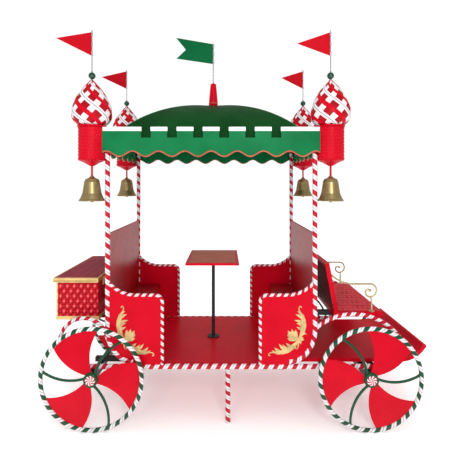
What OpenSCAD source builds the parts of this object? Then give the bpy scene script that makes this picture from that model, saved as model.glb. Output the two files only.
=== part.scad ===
// Open park stagecoach with a striped-tube frame, four corner turrets and a pillow roof.
// The front, with the driver's bench, points along +X. The origin is on the ground,
// below the middle of the whole coach.

/* [Cabin] */
// Distance between the corner posts' centres, front to rear
post_span_x = 1648; // [1400:8:2000]
// Distance between the corner posts' centres, side to side
post_span_y = 1200; // [1000:10:1500]
// Diameter of the corner posts
post_d = 40; // [34:1:44]
// Height of the cabin floor's top above the ground
floor_top = 504; // [490:1:600]
// Thickness of the floor boards
floor_t = 30; // [20:1:40]
// Diameter of the side rails that edge the floor
rail_d = 42; // [36:1:48]
// Height where the posts start to bend inwards, above the floor
bend_height = 275; // [240:1:320]
// How far inwards the bent foot of each post reaches
bend_in = 206; // [180:1:220]
// Angle of the upper, wider part of each post's bend
bend_split = 40; // [30:1:50]
// Thickness of the side panels
panel_t = 20; // [12:1:28]
// Width of the doorway between the trim tubes' centres
door_w = 780; // [700:10:860]
// Diameter of the trim tube round the side panels
trim_d = 28; // [22:1:32]
// Height of the side panels beside the doorway, above the floor
panel_h = 546; // [480:2:640]
// Rise of the side panels' top edge towards the post
panel_rise = 110; // [80:1:140]
// Length of that rising stretch
panel_rise_l = 224; // [200:1:300]
// Radius of the panels' upper corner at the doorway
panel_corner = 55; // [40:1:80]
// Thickness of the end walls
wall_t = 20; // [14:1:28]
// Height of the end walls above the floor
wall_h = 1033; // [900:5:1200]

/* [Benches and table] */
// Height of the bench seats' top above the floor
bench_h = 351; // [300:1:420]
// Depth of the bench seats, measured from the end wall's inner face
bench_l = 224; // [212:1:240]
// Thickness of the bench seats
bench_t = 30; // [18:1:40]
// Thickness of the bench risers
riser_t = 12; // [8:1:16]
// Length of the table top across the coach
table_w = 700; // [500:10:900]
// Width of the table top
table_l = 460; // [300:10:600]
// Height of the table top above the floor
table_h = 751; // [650:1:800]
// Thickness of the table top
table_t = 20; // [15:1:40]
// Diameter of the table's column
column_d = 30; // [24:1:60]
// Diameter of the column's foot plate
column_foot_d = 110; // [80:1:200]
// Thickness of the column's foot and head plates
column_plate_t = 10; // [6:1:14]

/* [Canopy] */
// Height of the post tops, where the canopy frame rests, above the floor
post_h = 1766; // [1600:2:2000]
// Height of the canopy frame's bars
frame_t = 30; // [20:1:36]
// Width of the canopy frame's bars
frame_w = 75; // [60:1:90]
// Thickness of the fascia boards
fascia_t = 20; // [12:1:26]
// Depth of the fascia below the frame's top, to the middle of its waves
fascia_drop = 128; // [100:1:160]
// Half the height of the fascia's waves
wave_a = 21; // [10:1:30]
// Number of waves along each long side
waves_x = 8; // [6:1:10]
// Number of waves along each short side
waves_y = 6; // [4:1:8]
// Height of the merlons, with their caps
merlon_h = 83; // [60:1:92]
// Width of the merlons
merlon_w = 128; // [100:1:140]
// Distance from merlon to merlon
merlon_pitch = 205; // [190:1:215]
// Height of the roof above the canopy frame
roof_h = 356; // [300:1:420]
// Thickness of the roof shell
roof_t = 14; // [10:1:20]
// Margin between the roof's foot and the post centres
roof_margin = 12; // [8:1:30]
// Height of the roof finial
finial_h = 212; // [150:1:260]
// Largest diameter of the finial
finial_d = 84; // [60:1:100]
// Diameter of the centre flag pole
main_pole_d = 12; // [8:1:20]
// Height of the centre flag pole above the finial
main_pole_h = 378; // [300:1:420]
// Height of the centre flag
flag_h = 186; // [150:1:220]
// Length of the centre flag
flag_l = 370; // [250:1:420]
// Depth of the swallow tail
flag_notch = 92; // [50:1:120]
// Turn of the centre flag towards the right-hand side
flag_yaw = 28; // [0:1:40]
// Thickness of the sheet-metal flags
flag_t = 3; // [2:0.5:4]

/* [Turrets] */
// Distance of the turret axes outboard of the posts, lengthwise
turret_out = 126; // [122:1:140]
// Distance of the turret axes inboard of the posts, sideways
turret_in = 7; // [0:1:12]
// Diameter of the turret drums
drum_d = 207; // [180:1:210]
// Height of the turret drums
drum_h = 275; // [220:1:320]
// Height of the drums' lip above the canopy frame's top
drum_above = 95; // [88:1:110]
// How far the drum's lip stands out
lip_out = 10; // [4:1:16]
// Height of the funnel under each drum
funnel_h = 44; // [30:1:60]
// Length of the rod under each funnel
hanger_l = 86; // [60:1:110]
// Diameter of that rod
hanger_d = 16; // [12:1:24]
// Height of the bells
bell_h = 191; // [150:1:200]
// Diameter of the bells' mouths
bell_d = 205; // [150:1:209]
// Thickness of the bells' walls
bell_t = 5.5; // [4:0.5:7]
// Diameter of the clapper balls
clapper_d = 36; // [24:1:44]
// Height of the onion domes
dome_h = 369; // [300:1:420]
// Largest diameter of the onion domes
dome_d = 315; // [260:1:330]
// Height of the domes' widest ring above their feet
dome_belly = 91; // [70:1:110]
// Diameter of the turret balls
ball_d = 55; // [40:1:70]
// Diameter of the turret flag poles
pole_d = 8; // [6:1:12]
// Height of the turret flag poles above their balls
pole_h = 335; // [280:1:380]
// Height of the pennants at the pole
pennant_h = 190; // [150:1:220]
// Length of the pennants
pennant_l = 272; // [200:1:280]
// Distance of the pennants' upper corner below the pole's top
pennant_drop = 14; // [6:1:40]
// Turn of the pennants: rear right, rear left, front right, front left
pennant_yaw = [34, 33, 5, 24]; // [0:1:34]

/* [Running gear] */
// Diameter of the wheels
wheel_d = 824; // [760:2:840]
// Diameter of the wheels' rim tubes
rim_d = 35; // [30:1:44]
// Distance of the wheel planes outboard of the posts
wheel_out = 70; // [64:1:90]
// Distance of the rear hubs behind the rear posts
rear_hub_out = 110; // [100:1:160]
// Distance of the front hubs ahead of the front posts
front_hub_out = 421; // [400:1:470]
// Diameter of the hubs
hub_d = 110; // [90:1:130]
// Length of the hubs
hub_w = 50; // [40:1:60]
// Diameter of the round discs that close the hubs
disc_d = 84; // [60:1:88]
// Thickness of those discs
disc_t = 5; // [3:1:8]
// Diameter of the curved spokes
spoke_d = 20; // [14:1:24]
// Radius of the swirl that spokes and blades follow
swirl_r = 375; // [340:5:450]
// Angle that a blade spans at the rim
blade_span = 58; // [40:1:62]
// Thickness of the blades
blade_t = 6; // [4:1:10]
// Turn of the front wheels' first blade from level
front_phase = 66; // [0:1:119]
// Turn of the rear wheels' first blade from level
rear_phase = 70; // [0:1:119]
// Diameter of the axles' round spindles
spindle_d = 30; // [24:1:40]
// Running clearance round spindles and hinge pins
run_gap = 0.1; // [0.05:0.01:0.3]
// Side of the square axle beams
axle_s = 50; // [40:1:50]
// Width of the floor beams and cross members
beam_w = 40; // [30:1:60]
// Diameter of the striped support legs
leg_d = 42; // [30:1:50]
// Position of the support legs ahead of the cabin's middle
leg_x = 132; // [60:1:240]
// Distance of the support legs inboard of the posts
leg_in = 70; // [60:1:160]
// Diameter of the wheel arches' tubes
arch_d = 32; // [24:1:38]

/* [Front end] */
// Half width of the driver's bench, footwell and trunk
end_half_w = 490; // [400:5:500]
// Distance from the front posts to the end of the flat footwell
footwell_l = 726; // [700:2:800]
// Horizontal reach of the curled toe board, without its lip
toe_reach = 195; // [150:1:230]
// Rise of the toe board
toe_rise = 113; // [80:1:130]
// Diameter of the toe board's rolled lip
lip_d = 34; // [32:1:44]
// Height of the driver's seat above the floor
seat_h = 379; // [340:1:420]
// Thickness of the driver's seat
seat_t = 40; // [25:1:50]
// Distance from the front posts to the seat's rear edge
seat_back = 176; // [170:1:220]
// Distance from the front posts to the seat's front edge
seat_front = 580; // [520:2:640]
// Height of the backrest above the seat
rest_h = 397; // [330:1:450]
// Thickness of the backrest
rest_t = 36; // [24:1:44]
// How far the backrest leans back at its top
rest_lean = 76; // [40:1:80]
// Diameter of the scrolled arm rails
arm_d = 15; // [10:1:20]
// Height of the arm rails above the seat
arm_h = 232; // [200:1:280]
// Depth of the brackets under the seat and the trunk
bracket_t = 40; // [25:1:50]

/* [Trunk] */
// Distance from the rear posts to the trunk
trunk_gap = 106; // [98:1:140]
// Length of the trunk
trunk_l = 337; // [280:1:380]
// Height of the trunk's bottom above the floor
trunk_z = 318; // [300:1:360]
// Height of the trunk's box
trunk_h = 308; // [240:1:340]
// Thickness of the trunk's walls
trunk_t = 15; // [10:1:22]
// Thickness of the lid
lid_t = 37; // [25:1:44]
// Overhang of the lid past the rear and the sides
lid_over = 16; // [6:1:24]
// Width of the gold moulding round the lid
lid_trim_w = 10; // [6:1:14]
// Height of the gold moulding round the trunk's bottom
trim_h = 28; // [16:1:40]
// Thickness of that moulding
trim_t = 8; // [4:1:12]
// Diameter of the lid's hinge pins
pin_d = 8; // [6:1:9]
// Diameter of the hinge knuckles
knuckle_d = 16; // [14:1:20]
// Distance of the hinges from the middle of the trunk
hinge_y = 330; // [200:5:400]

/* [Hidden] */
$fn = 64;
// Gap left between round pieces that are seated on each other
seat_gap = 0.3;
// Thin sleeves that join the bent bars
collar_out = 0.5;
collar_l = 10;

post_x = post_span_x / 2;
post_y = post_span_y / 2;
post_r = post_d / 2;
rail_r = rail_d / 2;
rail_z = floor_top - rail_r;
trim_r = trim_d / 2;
wheel_r = wheel_d / 2;
rim_r = rim_d / 2;
rim_path = wheel_r - rim_r;
hub_r = hub_d / 2;
wheel_y = post_y + wheel_out;
rear_hub = -post_x - rear_hub_out;
front_hub = post_x + front_hub_out;
turret_x = post_x + turret_out;
turret_y = post_y - turret_in;
drum_r = drum_d / 2;

// The post's bend is two arcs that meet at bend_split and end level, on top of the rail
bend_z = floor_top + bend_height;
foot_z = floor_top + post_r + seat_gap;
foot_x = post_x - bend_in;
bend_c = cos(bend_split);
bend_s = sin(bend_split);
bend_det = 1 - bend_c - bend_s;
bend_fall = bend_z - foot_z;
upper_r = (bend_in * (1 - bend_s) - bend_fall * bend_c) / bend_det;
lower_r = ((1 - bend_c) * bend_fall - bend_s * bend_in) / bend_det;
upper_at = [post_x - upper_r, bend_z];
lower_at = [foot_x, foot_z + lower_r];

// Heights of the canopy and the turrets
frame_z = floor_top + post_h;
eaves_z = frame_z + frame_t;
fascia_in_x = post_x + post_r + 1;
fascia_in_y = post_y + post_r;
fascia_x = fascia_in_x + fascia_t;
fascia_y = fascia_in_y + fascia_t;
crest_z = eaves_z + roof_h;
finial_z = crest_z + seat_gap;
mast_z = finial_z + finial_h;
drum_top = eaves_z + drum_above;
drum_z = drum_top - drum_h;
bell_z = drum_z - funnel_h - hanger_l - bell_h;
dome_top = drum_top + dome_h;
ball_z = dome_top + ball_d / 2 + 3;
pole_z = ball_z + ball_d / 2;
pole_top = pole_z + pole_h;

// Floor plates end where the walls' feet stand
wall_foot = 10;
floor_x = foot_x + wall_foot;
footwell_x = post_x + footwell_l;
floor_half_y = post_y - rail_r - 0.5;
under_z = floor_top - floor_t;
axle_top = wheel_r + axle_s / 2;
member_t = 25;
member_z = under_z - member_t;

// Driver's bench and trunk
seat_z = floor_top + seat_h;
seat_x0 = post_x + seat_back;
seat_x1 = post_x + seat_front;
wall_out = post_x + wall_t / 2;
trunk_x1 = -post_x - trunk_gap;
trunk_x0 = trunk_x1 - trunk_l;
trunk_z0 = floor_top + trunk_z;
trunk_z1 = trunk_z0 + trunk_h;
lid_z = trunk_z1 + seat_gap;
lid_x0 = trunk_x0 - lid_over - lid_trim_w;
lid_x1 = trunk_x1 + 5;
lid_y = end_half_w + lid_over;
pin_x = lid_x1 + knuckle_d / 2 + 2;
pin_z = trunk_z1 + 10;

// The origin is below the middle of the whole coach
toe_tip = footwell_x + toe_reach + lip_d / 2;
rear_tip = min(rear_hub - wheel_r, lid_x0);
mid_x = (toe_tip + rear_tip) / 2;

// ---- helpers ----

// Moves a piece from the cabin's own frame to the coach's origin
module placed() translate([-mid_x, 0, 0]) children();

module both_ends() for (m = [0, 1]) mirror([m, 0, 0]) children();

module both_sides() for (m = [0, 1]) mirror([0, m, 0]) children();

module corners() both_ends() both_sides() children();

// A block given by its two corners
module block(a, b) translate(a) cube(b - a);

// A round bar in an upright plane, from p to q, each as [x, z]
module bar(p, q, r) {
    d = q - p;
    translate([p[0], 0, p[1]]) rotate([0, atan2(d[0], d[1]), 0]) cylinder(h = norm(d), r = r);
}

// A round bar bent about c = [x, z] in an upright plane, from angle a0 to a1 above level
module bend(c, radius, a0, a1, r)
    translate([c[0], 0, c[1]]) rotate([90, 0, 0]) rotate([0, 0, a0])
        rotate_extrude(angle = a1 - a0) translate([radius, 0]) circle(r = r);

// A plate of width w bent the same way
module bent_plate(c, radius, a0, a1, t, w)
    translate([c[0], 0, c[1]]) rotate([90, 0, 0]) rotate([0, 0, a0])
        rotate_extrude(angle = a1 - a0) translate([radius - t / 2, -w / 2]) square([t, w]);

// A thin sleeve where two bent bars meet at p = [x, z], heading at angle a above level
module collar(p, a, r) translate([p[0], 0, p[1]]) rotate([0, 90 - a, 0])
    translate([0, 0, -collar_l / 2]) cylinder(h = collar_l, r = r + collar_out);

// Points of an arc about c
function arc(c, radius, a0, a1, n) =
    [for (i = [0:n]) c + radius * [cos(a0 + (a1 - a0) * i / n), sin(a0 + (a1 - a0) * i / n)]];

// Points of a cubic curve
function bezier(a, b, c, d, n) = [for (i = [0:n]) let (t = i / n, u = 1 - t)
    u * u * u * a + 3 * u * u * t * b + 3 * u * t * t * c + t * t * t * d];

// ---- chassis ----

module member_bars(gap) {
    for (x = [-post_x + 270, 0, post_x - 270, post_x + 76, footwell_x - 250])
        block([x - beam_w / 2 - gap, -floor_half_y, member_z], [x + beam_w / 2 + gap, floor_half_y, under_z]);
}

module floor_beams() placed() color("dimgray") difference() {
    both_sides() block([rear_hub - 50, floor_half_y * 0.62, axle_top],
        [footwell_x - 100, floor_half_y * 0.62 + beam_w, under_z]);
    member_bars(0);
}

module cross_members() placed() color("dimgray") member_bars(0);

module rail(r) both_sides() translate([0, post_y, 0])
    bar([rear_hub - 30, rail_z], [front_hub + 30, rail_z], r);

module side_rails() placed() color("crimson") rail(rail_r);

module axles() placed() color("dimgray") for (x = [rear_hub, front_hub]) both_sides() {
    block([x - axle_s / 2, 0, wheel_r - axle_s / 2], [x + axle_s / 2, post_y + 34, axle_top]);
    translate([x, post_y + 30, wheel_r]) rotate([-90, 0, 0])
        cylinder(h = wheel_out + hub_w / 2 - 30 - 9, d = spindle_d);
}

module axle_blocks() placed() color("dimgray") difference() {
    for (x = [rear_hub, front_hub]) both_sides()
        block([x - 30, post_y - 18, axle_top], [x + 30, post_y + 18, rail_z]);
    rail(rail_r + seat_gap);
}

module support_legs() placed() color("crimson") both_sides()
    translate([leg_x, post_y - leg_in, 0]) cylinder(h = under_z, d = leg_d);

module arch_bars() {
    bend([post_x + 306, floor_top - 64], 458, 38, 131.6, arch_d / 2);
    bend([-post_x - 189, floor_top + 171], 191, 8, 172, arch_d / 2);
}

module wheel_arches() placed() color("crimson") difference() {
    both_sides() translate([0, post_y, 0]) arch_bars();
    post_tubes(post_r + seat_gap);
}

// ---- wheels ----

// Centre of the swirl that runs from the hub to the rim, in the wheel's plane
hub_in = 40;
swirl_lead = 6;
swirl_a = hub_in * [cos(swirl_lead), sin(swirl_lead)];
swirl_b = [rim_path, 0];
swirl_d = swirl_b - swirl_a;
swirl_off = sqrt(swirl_r * swirl_r - swirl_d * swirl_d / 4) / norm(swirl_d);
swirl_c = (swirl_a + swirl_b) / 2 + swirl_off * [-swirl_d[1], swirl_d[0]];
swirl_a0 = atan2(swirl_a[1] - swirl_c[1], swirl_a[0] - swirl_c[0]);
swirl_a1 = atan2(swirl_b[1] - swirl_c[1], swirl_b[0] - swirl_c[0]);

function turned(points, a) =
    [for (p = points) [p[0] * cos(a) - p[1] * sin(a), p[0] * sin(a) + p[1] * cos(a)]];

function reversed(list) = [for (i = [len(list) - 1:-1:0]) list[i]];

module rim(r) rotate_extrude() translate([rim_path, 0]) circle(r = r);

module blade_plate() {
    edge = arc(swirl_c, swirl_r, swirl_a0, swirl_a1, 14);
    outer = arc([0, 0], rim_path, -blade_span / 2, blade_span / 2, 14);
    translate([0, 0, -blade_t / 2]) linear_extrude(blade_t) polygon(concat(
        turned(edge, -blade_span / 2), outer, reversed(turned(edge, blade_span / 2))));
}

// In the wheel's own frame, with its outer face along +Z
module wheel_body() difference() {
    union() {
        rim(rim_r);
        translate([0, 0, -hub_w / 2]) cylinder(h = hub_w, r = hub_r);
        translate([0, 0, hub_w / 2]) cylinder(h = disc_t, d = disc_d);
        for (i = [0:2]) rotate([0, 0, 60 + 120 * i]) translate(swirl_c)
            rotate([0, 0, swirl_a0]) rotate_extrude(angle = swirl_a1 - swirl_a0)
                translate([swirl_r, 0]) circle(d = spoke_d);
    }
    translate([0, 0, -hub_w / 2 - 1]) cylinder(h = hub_w - 6, r = spindle_d / 2 + run_gap);
}

module wheel_blades() difference() {
    for (i = [0:2]) rotate([0, 0, 120 * i]) blade_plate();
    rim(rim_r + seat_gap);
    translate([0, 0, -blade_t]) cylinder(h = 2 * blade_t, r = hub_r + seat_gap);
}

// Stands a wheel at its hub: side is -1 for right and 1 for left
module on_front(side) mirror([0, side > 0 ? 1 : 0, 0])
    translate([front_hub, -wheel_y, wheel_r]) rotate([90, 0, 0]) rotate([0, 0, front_phase]) children();

module on_rear(side) mirror([0, side > 0 ? 1 : 0, 0])
    translate([rear_hub, -wheel_y, wheel_r]) mirror([1, 0, 0]) rotate([90, 0, 0])
        rotate([0, 0, rear_phase]) children();

module wheel_front_right() placed() color("darkgreen") on_front(-1) wheel_body();
module wheel_front_left() placed() color("darkgreen") on_front(1) wheel_body();
module wheel_rear_right() placed() color("darkgreen") on_rear(-1) wheel_body();
module wheel_rear_left() placed() color("darkgreen") on_rear(1) wheel_body();
module blades_front_right() placed() color("crimson") on_front(-1) wheel_blades();
module blades_front_left() placed() color("crimson") on_front(1) wheel_blades();
module blades_rear_right() placed() color("crimson") on_rear(-1) wheel_blades();
module blades_rear_left() placed() color("crimson") on_rear(1) wheel_blades();

// ---- cabin ----

module cabin_floor() placed() color("red")
    block([-floor_x, -floor_half_y, under_z], [floor_x, floor_half_y, floor_top]);

module post_tube(r) translate([0, post_y, 0]) {
    bar([post_x, bend_z], [post_x, frame_z], r);
    collar([post_x, bend_z], 90, r);
    collar(lower_at + lower_r * [bend_c, -bend_s], 90 - bend_split, r);
    bend(upper_at, upper_r, -bend_split, 0, r);
    bend(lower_at, lower_r, -90, -bend_split, r);
}

module post_tubes(r) corners() post_tube(r);

module corner_posts() placed() color("crimson") post_tubes(post_r);

// Free edge of a side panel: up the doorway, round the corner and up to the post
door_x = door_w / 2;
panel_z = floor_top + panel_h;
rise_r = (panel_rise_l * panel_rise_l + panel_rise * panel_rise) / (2 * panel_rise);
rise_a = asin(panel_rise_l / rise_r);
rise_x = post_x - panel_rise_l;

module trim_tube(r) {
    bar([door_x, rail_z], [door_x, panel_z - panel_corner], r);
    bend([door_x + panel_corner, panel_z - panel_corner], panel_corner, 90, 180, r);
    bar([door_x + panel_corner, panel_z], [rise_x, panel_z], r);
    bend([rise_x, panel_z + rise_r], rise_r, -90, rise_a - 90, r);
}

panel_outline = concat([[foot_x, rail_z], [door_x, rail_z]],
    arc([door_x + panel_corner, panel_z - panel_corner], panel_corner, 180, 90, 8),
    arc([rise_x, panel_z + rise_r], rise_r, -90, rise_a - 90, 12),
    arc(upper_at, upper_r, 0, -bend_split, 8),
    arc(lower_at, lower_r, -bend_split - 5, -90, 8));

module side_panels() placed() color("red") difference() {
    corners() translate([0, post_y + panel_t / 2, 0]) rotate([90, 0, 0])
        linear_extrude(panel_t) polygon(panel_outline);
    corners() translate([0, post_y, 0]) trim_tube(trim_r + seat_gap);
    post_tubes(post_r + seat_gap);
    rail(rail_r + seat_gap);
}

module panel_trim() placed() color("white") difference() {
    corners() translate([0, post_y, 0]) trim_tube(trim_r);
    post_tubes(post_r + seat_gap);
    rail(rail_r + seat_gap);
}

// Section of an end wall: flat above, then bent inwards like the posts, with a foot on the floor
wall_w = 2 * (post_y - post_r - collar_out - seat_gap);
wall_outline = concat([[wall_out, floor_top + wall_h]],
    arc(upper_at, upper_r + wall_t / 2, 0, -bend_split, 14),
    arc(lower_at, lower_r + wall_t / 2, -bend_split - 3, -90, 14),
    [[foot_x, floor_top], [foot_x - wall_foot, floor_top]],
    [[foot_x - wall_foot, foot_z + wall_t / 2]],
    arc(lower_at, lower_r - wall_t / 2, -90, -bend_split - 3, 14),
    arc(upper_at, upper_r - wall_t / 2, -bend_split, 0, 14),
    [[post_x - wall_t / 2, floor_top + wall_h]]);

module end_walls() placed() color("red") both_ends() translate([0, wall_w / 2, 0])
    rotate([90, 0, 0]) linear_extrude(wall_w) polygon(wall_outline);

bench_x = post_x - wall_t / 2 - bench_l;
bench_y = post_y - panel_t / 2 - seat_gap;
bench_z = floor_top + bench_h;

module bench_risers() placed() color("red") both_ends()
    block([bench_x + 2, -bench_y, floor_top], [bench_x + 2 + riser_t, bench_y, bench_z - bench_t]);

module bench_seats() placed() color("darkred") difference() {
    both_ends() block([bench_x, -bench_y, bench_z - bench_t],
        [post_x - wall_t / 2 - seat_gap, bench_y, bench_z]);
    post_tubes(post_r + seat_gap);
}

table_z = floor_top + table_h;

module table_top() placed() color("darkred")
    block([-table_l / 2, -table_w / 2, table_z - table_t], [table_l / 2, table_w / 2, table_z]);

module table_column() placed() color("black") {
    translate([0, 0, floor_top]) cylinder(h = column_plate_t, d = column_foot_d);
    translate([0, 0, floor_top]) cylinder(h = table_h - table_t, d = column_d);
    translate([0, 0, table_z - table_t - column_plate_t]) cylinder(h = column_plate_t, d = column_foot_d);
}

// ---- canopy ----

module canopy_frame() placed() color("darkgreen") difference() {
    block([-fascia_in_x, -fascia_in_y, frame_z], [fascia_in_x, fascia_in_y, eaves_z]);
    block([frame_w - fascia_in_x, frame_w - fascia_in_y, frame_z - 1],
        [fascia_in_x - frame_w, fascia_in_y - frame_w, eaves_z + 1]);
}

crenel_z = eaves_z - 2;

// Outline of a fascia board: waves along its bottom, merlons along its top
function board(half, span, waves, n) = concat(
    [for (i = [0:96]) let (x = half * (i / 48 - 1))
        [x, eaves_z - fascia_drop + wave_a * cos(360 * waves * x / span)]],
    [[half, crenel_z + merlon_h], [n * merlon_pitch - merlon_w / 2, crenel_z + merlon_h],
        [n * merlon_pitch - merlon_w / 2, crenel_z]],
    [for (i = [n - 1:-1:1 - n], e = [[1, 0], [1, 1], [-1, 1], [-1, 0]])
        [i * merlon_pitch + e[0] * merlon_w / 2, crenel_z + e[1] * merlon_h]],
    [[merlon_w / 2 - n * merlon_pitch, crenel_z], [merlon_w / 2 - n * merlon_pitch, crenel_z + merlon_h],
        [-half, crenel_z + merlon_h]]);

module turret_clear() corners() translate([turret_x, turret_y, drum_z - 1])
    cylinder(h = drum_h + 10, r = drum_r + seat_gap);

module canopy_fascia() placed() color("seagreen") difference() {
    union() {
        both_sides() translate([0, fascia_y, 0]) rotate([90, 0, 0])
            linear_extrude(fascia_t) polygon(board(fascia_x, post_span_x, waves_x, 3));
        both_ends() translate([fascia_in_x, 0, 0]) rotate([90, 0, 90])
            linear_extrude(fascia_t) polygon(board(fascia_y, post_span_y, waves_y, 2));
    }
    turret_clear();
}

// Half of the roof's shape: a barrel of the given half span, crossed with the other one
function barrel_r(half) = (half * half + roof_h * roof_h) / (2 * roof_h);

module roof_block(cut) {
    hx = post_x - post_r - roof_margin / 2;
    hy = post_y - roof_margin / 2;
    rx = barrel_r(hx);
    ry = barrel_r(hy);
    intersection() {
        translate([0, hy + 5, crest_z - rx]) rotate([90, 0, 0]) cylinder(h = 2 * hy + 10, r = rx - cut, $fn = 128);
        translate([-hx - 5, 0, crest_z - ry]) rotate([0, 90, 0]) cylinder(h = 2 * hx + 10, r = ry - cut, $fn = 128);
        block([-hx, -hy, eaves_z - (cut > 0 ? 1 : 0)], [hx, hy, crest_z + 1]);
    }
}

module roof_dome() placed() color("darkgreen") difference() {
    roof_block(0);
    roof_block(roof_t);
}

module roof_finial() placed() color("red") {
    r = finial_d / 2;
    translate([0, 0, finial_z]) rotate_extrude() polygon(concat(
        [[0, 0]], arc([r - 14, 14], 14, -90, 0, 5), [[r, 34]],
        arc([r * 0.6 - 8, finial_h - 8], 8, 0, 90, 4), [[0, finial_h]]));
    translate([0, 0, mast_z]) cylinder(h = main_pole_h, d = main_pole_d);
}

module centre_flag() placed() color("green") difference() {
    translate([0, 0, mast_z + main_pole_h - flag_h - 6]) rotate([0, 0, flag_yaw])
        translate([0, flag_t / 2, 0]) rotate([90, 0, 0]) linear_extrude(flag_t)
            polygon([[0, 0], [-flag_l, 0], [flag_notch - flag_l, flag_h / 2], [-flag_l, flag_h], [0, flag_h]]);
    translate([0, 0, mast_z]) cylinder(h = main_pole_h + 1, r = main_pole_d / 2 + seat_gap);
}

// ---- turrets ----

module turret_drums() placed() color("red") corners() translate([turret_x, turret_y, 0])
    rotate_extrude() polygon([[0, bell_z + bell_h], [hanger_d / 2, bell_z + bell_h],
        [hanger_d / 2, drum_z - funnel_h], [hanger_d, drum_z - funnel_h],
        [drum_r * 0.55, drum_z - funnel_h * 0.45], [drum_r, drum_z], [drum_r, drum_top - 12],
        [drum_r + lip_out, drum_top - 8], [drum_r + lip_out, drum_top], [0, drum_top]]);

// Outer side of a bell, as shares of its mouth's radius and its height, from crown to mouth
bell_side = [[0.18, 1], [0.24, 0.965], [0.5, 0.9], [0.585, 0.79], [0.64, 0.58], [0.72, 0.32],
    [0.86, 0.13], [1, 0.02], [1, 0]];

module bells() placed() color("goldenrod") corners() translate([turret_x, turret_y, bell_z])
    rotate_extrude() polygon(concat([[0, bell_h]],
        [for (p = bell_side) [p[0] * bell_d / 2, p[1] * bell_h]],
        [for (i = [len(bell_side) - 1:-1:2]) let (p = bell_side[i])
            [p[0] * bell_d / 2 - bell_t, p[1] * bell_h - (i == 2 ? bell_t : 0)]],
        [[4, 0.9 * bell_h - bell_t]],
        arc([0, 5], clapper_d / 2, 77, -90, 12)));

dome_side = concat(
    bezier([drum_r - 4, 0], [dome_d * 0.44, 18], [dome_d / 2, 48], [dome_d / 2, dome_belly], 8),
    bezier([dome_d / 2, dome_belly + 1], [dome_d / 2, dome_belly + 96], [dome_d * 0.3, dome_h - 84],
        [pole_d + 2, dome_h], 14));

module turret_domes() placed() color("white") corners() translate([turret_x, turret_y, drum_top])
    rotate_extrude() polygon(concat([[0, 0]], dome_side, [[0, dome_h]]));

module turret_spires() placed() color("green") corners() translate([turret_x, turret_y, 0]) {
    translate([0, 0, dome_top]) cylinder(h = ball_d / 2, r = pole_d);
    translate([0, 0, ball_z]) sphere(d = ball_d);
    translate([0, 0, ball_z]) cylinder(h = pole_top - ball_z, d = pole_d);
}

module pennant(sx, sy, yaw) translate([sx * turret_x, sy * turret_y, pole_top - pennant_drop])
    rotate([0, 0, yaw]) translate([0, flag_t / 2, 0]) rotate([90, 0, 0]) linear_extrude(flag_t)
        polygon([[0, 0], [-pennant_l, -pennant_h * 0.52], [0, -pennant_h]]);

module pennants() placed() color("red") difference() {
    union() {
        pennant(-1, -1, pennant_yaw[0]);
        pennant(-1, 1, pennant_yaw[1]);
        pennant(1, -1, pennant_yaw[2]);
        pennant(1, 1, pennant_yaw[3]);
    }
    corners() translate([turret_x, turret_y, pole_z])
        cylinder(h = pole_h + 1, r = pole_d / 2 + seat_gap);
}

// ---- driver's end ----

module footwell_floor() placed() color("red")
    block([floor_x, -end_half_w, under_z], [footwell_x, end_half_w, floor_top]);

toe_r = (toe_reach * toe_reach + toe_rise * toe_rise) / (2 * toe_rise);
toe_a = asin(toe_reach / toe_r);
toe_c = [footwell_x, floor_top - floor_t / 2 + toe_r];

module toe_board() placed() color("red") {
    bent_plate(toe_c, toe_r, -90, toe_a - 90, floor_t, 2 * end_half_w);
    translate([toe_c[0] + toe_r * sin(toe_a), end_half_w, toe_c[1] - toe_r * cos(toe_a)])
        rotate([90, 0, 0]) cylinder(h = 2 * end_half_w, d = lip_d);
}

module driver_seat() placed() color("red")
    block([seat_x0, -end_half_w, seat_z - seat_t], [seat_x1, end_half_w, seat_z]);

rest_a = atan2(rest_lean, rest_h);
rest_x = seat_x0 + rest_t / 2 + 6;

module rest_board(gap) intersection() {
    translate([rest_x, 0, seat_z]) rotate([0, -rest_a, 0])
        block([-rest_t / 2 - gap, -end_half_w, -20], [rest_t / 2 + gap, end_half_w, rest_h / cos(rest_a)]);
    block([post_x, -end_half_w - 1, seat_z], [seat_x1, end_half_w + 1, seat_z + rest_h + rest_t]);
}

module driver_backrest() placed() color("darkred") rest_board(0);

// The rail sweeps down from the backrest, runs level and ends in a scroll over its post
scroll_r = 53;
arm_z = seat_z + arm_h - arm_d / 2;
scroll_x = seat_x1 - 96;
sweep_l = 187;
sweep_fall = 80;
sweep_r = (sweep_l * sweep_l + sweep_fall * sweep_fall) / (2 * sweep_fall);
level_x = seat_x0 + 170;

module arm_bars(r) {
    bend([level_x, arm_z + sweep_r], sweep_r, -90 - asin(sweep_l / sweep_r) - 4, -90, r);
    bar([level_x, arm_z], [scroll_x, arm_z], r);
    bend([scroll_x, arm_z - scroll_r], scroll_r, -90, 90, r);
    bend([scroll_x, arm_z - scroll_r - 14], scroll_r - 14, -180, -90, r);
    bend([scroll_x - 17, arm_z - scroll_r - 14], scroll_r - 31, 40, 180, r);
    bar([scroll_x + 10, seat_z], [scroll_x + 10, arm_z - 2 * scroll_r + 4], r);
    for (p = [[level_x, arm_z], [scroll_x, arm_z], [scroll_x, arm_z - 2 * scroll_r]]) collar(p, 0, r);
    collar([scroll_x - scroll_r + 14, arm_z - scroll_r - 14], 90, r);
}

module arm_rails() placed() color("gold") difference() {
    both_sides() translate([0, end_half_w - 20, 0]) arm_bars(arm_d / 2);
    rest_board(seat_gap);
}

// ---- trunk ----

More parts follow.
